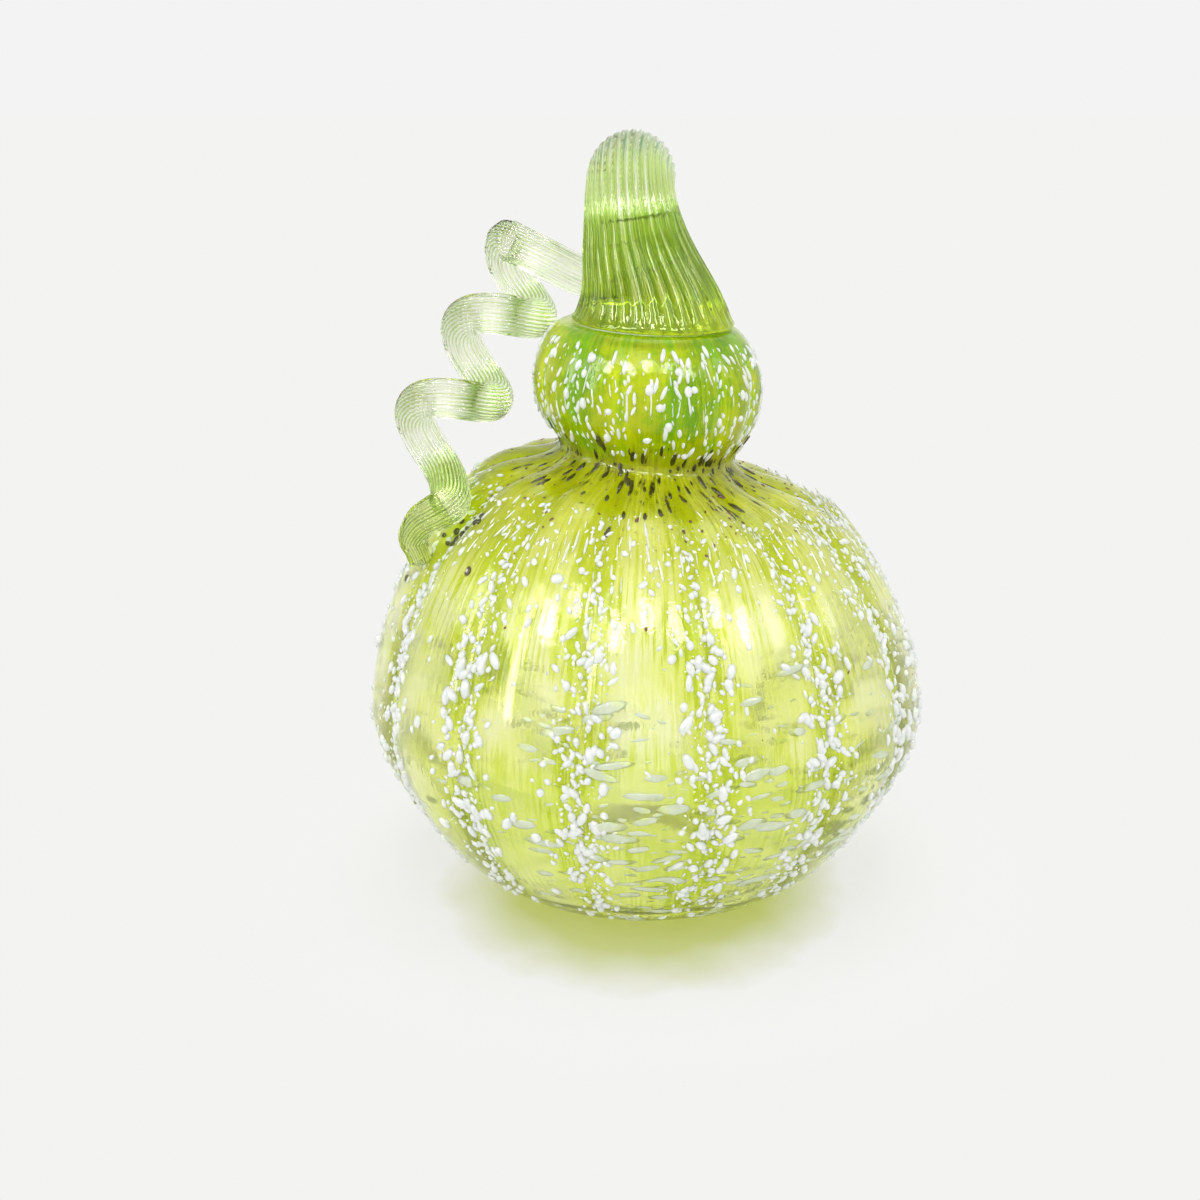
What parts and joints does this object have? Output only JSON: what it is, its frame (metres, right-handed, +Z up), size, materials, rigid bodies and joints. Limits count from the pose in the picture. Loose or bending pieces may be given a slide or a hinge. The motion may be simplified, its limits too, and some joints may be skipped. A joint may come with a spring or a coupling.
{
  "type": "glass gourd",
  "caption": "Hand-blown lime glass gourd ornament: hollow lobed double bulb with flecks of coloured glass, a bent ribbed stem and a corkscrew tendril.",
  "frame": {"origin": "middle of the flat foot, on the surface that the gourd stands on", "axes": "+Z up through the bulbs, -Y to the front, +X to the right of the front, so the tendril is on the -X side"},
  "size_m": [0.1205, 0.12, 0.1602],
  "materials": {
    "lime_glass": "clear yellow-green glass with streaks, polished by the flame",
    "green_glass": "clear green glass, ribbed and drawn",
    "pale_green_glass": "clear pale green glass, finely ribbed",
    "white_frit": "opaque white glass beads, fused and glossy",
    "dark_frit": "nearly black olive glass chips, glossy",
    "brown_frit": "reddish-brown glass chips, glossy"
  },
  "bodies": {
    "root": {"blown_bulb": "lime_glass", "brown_chip_1": "brown_frit", "brown_chip_2": "brown_frit", "brown_chip_3": "brown_frit", "crease_frit_01": "white_frit", "crease_frit_02": "white_frit", "crease_frit_03": "white_frit", "crease_frit_04": "white_frit", "crease_frit_05": "white_frit", "crease_frit_06": "white_frit", "crease_frit_07": "white_frit", "crease_frit_08": "white_frit", "crease_frit_09": "white_frit", "crease_frit_10": "white_frit", "crease_frit_11": "white_frit", "crease_frit_12": "white_frit", "crease_frit_13": "white_frit", "crease_frit_14": "white_frit", "proud_bead": "white_frit", "ringed_chip": "brown_frit", "stem": "green_glass", "tendril": "pale_green_glass", "tip_seed_1": "dark_frit", "tip_seed_2": "dark_frit", "tip_seed_3": "dark_frit", "tip_seed_4": "dark_frit", "tip_seed_5": "dark_frit", "tip_seed_6": "dark_frit", "tip_seed_7": "dark_frit", "tip_seed_8": "dark_frit", "tip_seed_9": "dark_frit", "upper_bead_01": "white_frit", "upper_bead_02": "white_frit", "upper_bead_03": "white_frit", "upper_bead_04": "white_frit", "upper_bead_05": "white_frit", "upper_bead_06": "white_frit", "upper_bead_07": "white_frit", "upper_bead_08": "white_frit", "upper_bead_09": "white_frit", "upper_bead_10": "white_frit", "upper_bead_11": "white_frit", "upper_bead_12": "white_frit", "waist_chip_1": "dark_frit", "waist_chip_2": "dark_frit", "waist_chip_3": "dark_frit", "waist_chip_4": "dark_frit", "waist_chip_5": "dark_frit", "waist_chip_6": "dark_frit", "waist_chip_7": "dark_frit", "waist_chip_8": "dark_frit", "white_pill": "white_frit"}
  },
  "joints": []
}
